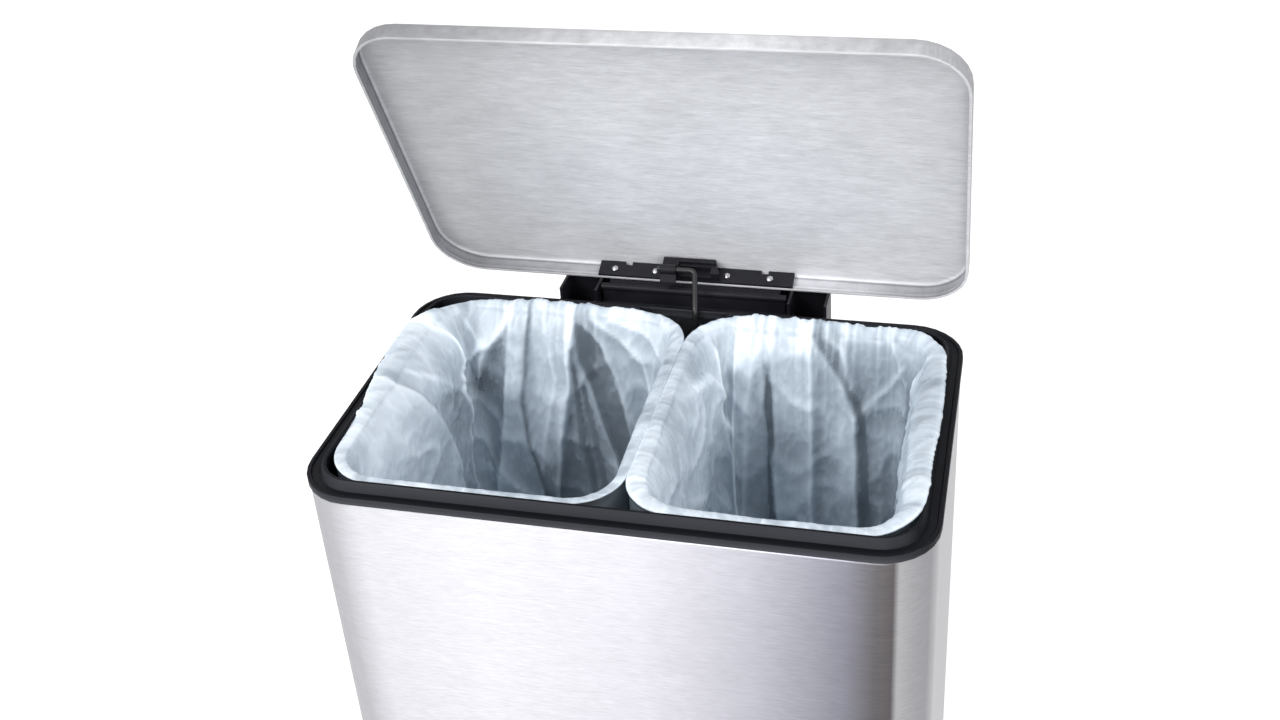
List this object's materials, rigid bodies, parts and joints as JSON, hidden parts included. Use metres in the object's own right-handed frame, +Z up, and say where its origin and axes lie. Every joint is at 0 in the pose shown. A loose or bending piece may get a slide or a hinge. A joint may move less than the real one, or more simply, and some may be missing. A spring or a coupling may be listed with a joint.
{
  "type": "dual compartment pedal bin",
  "caption": "Pedal bin with a brushed steel body and open hinged lid, two liner buckets side by side under the black collar, folded liner bags and a push rod linkage.",
  "frame": {"origin": "on the floor under the middle of the bin, taken over its whole box with the lid open", "axes": "+X to the bin's right as seen from the front, +Y to its back, where the hinge is, +Z up"},
  "size_m": [0.588, 0.4803, 0.9599],
  "materials": {
    "brushed_steel": "brushed along the width",
    "black_plastic": "satin moulded",
    "bucket_plastic": "satin moulded",
    "rubber": "matte",
    "bag_film": "thin translucent film",
    "bright_metal": "plated",
    "black_wire": "black coated wire",
    "zinc_steel": "zinc plated pressing"
  },
  "bodies": {
    "bin": {"body_shell": "brushed_steel", "top_collar": "black_plastic", "base_plinth": "black_plastic", "floor_tray": "black_plastic", "foot_front_left": "rubber", "foot_front_right": "rubber", "foot_rear_left": "rubber", "foot_rear_right": "rubber", "hinge_housing": "black_plastic", "hinge_pin_left": "bright_metal", "hinge_pin_right": "bright_metal", "housing_screw_left": "bright_metal", "housing_screw_right": "bright_metal", "pedal_axle": "bright_metal", "axle_clip": "bright_metal", "axle_spacer_left": "black_plastic", "axle_spacer_right": "black_plastic", "rotary_damper": "black_plastic"},
    "lid": {"lid_shell": "brushed_steel", "hinge_plate": "black_plastic", "lid_bracket": "black_plastic", "rivet_1": "bright_metal", "rivet_2": "bright_metal", "rivet_3": "bright_metal", "rivet_4": "bright_metal", "rod_clip": "black_plastic"},
    "rod": {"push_rod": "black_wire"},
    "pedal": {"pedal_lever": "zinc_steel", "lever_pin": "bright_metal", "pedal_plate": "brushed_steel", "pedal_pad": "rubber"},
    "bucket_left": {"left_bucket": "bucket_plastic"},
    "bucket_right": {"right_bucket": "bucket_plastic"},
    "liner_left": {"left_bag": "bag_film"},
    "liner_right": {"right_bag": "bag_film"}
  },
  "joints": [
    {"name": "lid_hinge", "type": "hinge", "parent": "bin", "child": "lid", "pos_m": [0, 0.211, 0.586], "axis": [-1, 0, 0], "range_deg": [-65.3, 0]},
    {"name": "rod_pivot", "type": "hinge", "parent": "lid", "child": "rod", "pos_m": [0.011, 0.20998, 0.63848], "axis": [-1, 0, 0], "range_deg": [0, 60.7]},
    {"name": "pedal_hinge", "type": "hinge", "parent": "bin", "child": "pedal", "pos_m": [0, -0.04, 0.04], "axis": [-1, 0, 0], "range_deg": [0, 9.7]},
    {"name": "bucket_left_lift", "type": "slide", "parent": "bin", "child": "bucket_left", "axis": [0, 0, 1], "range_m": [0, 0.055]},
    {"name": "bucket_right_lift", "type": "slide", "parent": "bin", "child": "bucket_right", "axis": [0, 0, 1], "range_m": [0, 0.055]},
    {"name": "liner_left_lift", "type": "slide", "parent": "bucket_left", "child": "liner_left", "axis": [0, 0, 1], "range_m": [0, 0.055]},
    {"name": "liner_right_lift", "type": "slide", "parent": "bucket_right", "child": "liner_right", "axis": [0, 0, 1], "range_m": [0, 0.055]}
  ],
  "couplings": [
    {"joint": "rod_pivot", "follows": "lid_hinge", "ratio": -0.9272},
    {"joint": "pedal_hinge", "follows": "lid_hinge", "ratio": -0.1469}
  ]
}
